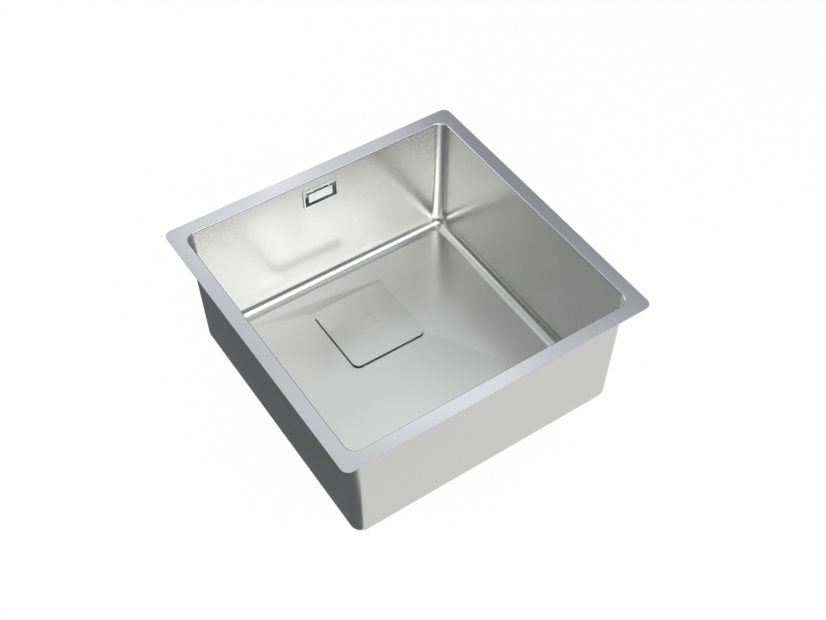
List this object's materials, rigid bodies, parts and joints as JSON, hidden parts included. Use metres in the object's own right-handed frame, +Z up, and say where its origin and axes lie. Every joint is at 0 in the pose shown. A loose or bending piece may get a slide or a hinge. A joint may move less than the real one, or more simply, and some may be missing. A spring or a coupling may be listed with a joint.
{
  "type": "undermount kitchen sink",
  "caption": "Square undermount steel sink bowl with a flat flange, small corner radii, a square overflow and a covered basket waste with a hose from the overflow.",
  "frame": {"origin": "centre of the opening on the top face of the flange, which meets the underside of the worktop", "axes": "+Z up out of the bowl, +Y to the back wall with the overflow, +X to the right as seen from the front"},
  "size_m": [0.44, 0.4519, 0.293],
  "materials": {
    "satin_steel": "satin",
    "cover_steel": "satin",
    "waste_steel": "satin",
    "screw_steel": "bright",
    "overflow_chrome": "polished",
    "insert_brass": "plain",
    "damping_rubber": "matt",
    "seal_rubber": "matt",
    "stopper_rubber": "matt",
    "feet_rubber": "matt",
    "waste_plastic": "moulded",
    "nut_plastic": "moulded",
    "hose_plastic": "extruded",
    "bush_plastic": "moulded"
  },
  "bodies": {
    "sink": {"bowl": "satin_steel", "sound_pad": "damping_rubber", "strainer_cup": "waste_steel", "flange_seal": "seal_rubber", "under_seal": "seal_rubber", "waste_body": "waste_plastic", "clamp_screw": "screw_steel", "screw_insert": "insert_brass", "overflow_frame": "overflow_chrome", "overflow_plate": "overflow_chrome", "overflow_screws": "screw_steel", "overflow_gasket": "seal_rubber", "overflow_housing": "waste_plastic", "hose_washer_top": "seal_rubber", "hose_nut_top": "nut_plastic", "hose_washer_bottom": "seal_rubber", "hose_nut_bottom": "nut_plastic", "overflow_hose": "hose_plastic"},
    "basket": {"basket_cup": "waste_steel", "basket_bush": "bush_plastic", "grip_ring": "seal_rubber", "bush_clip": "screw_steel"},
    "stopper": {"stopper_rod": "screw_steel", "stopper_disc": "waste_steel", "stopper_seal": "stopper_rubber", "stopper_knob": "bush_plastic"},
    "cover": {"drain_cover": "cover_steel", "cover_ring": "waste_steel", "cover_feet": "feet_rubber"}
  },
  "joints": [
    {"name": "basket_lift", "type": "slide", "parent": "sink", "child": "basket", "axis": [0, 0, 1], "range_m": [0, 0.26]},
    {"name": "stopper_slide", "type": "slide", "parent": "basket", "child": "stopper", "axis": [0, 0, 1], "range_m": [0, 0.008]},
    {"name": "cover_lift", "type": "slide", "parent": "basket", "child": "cover", "axis": [0, 0, 1], "range_m": [0, 0.22]}
  ]
}
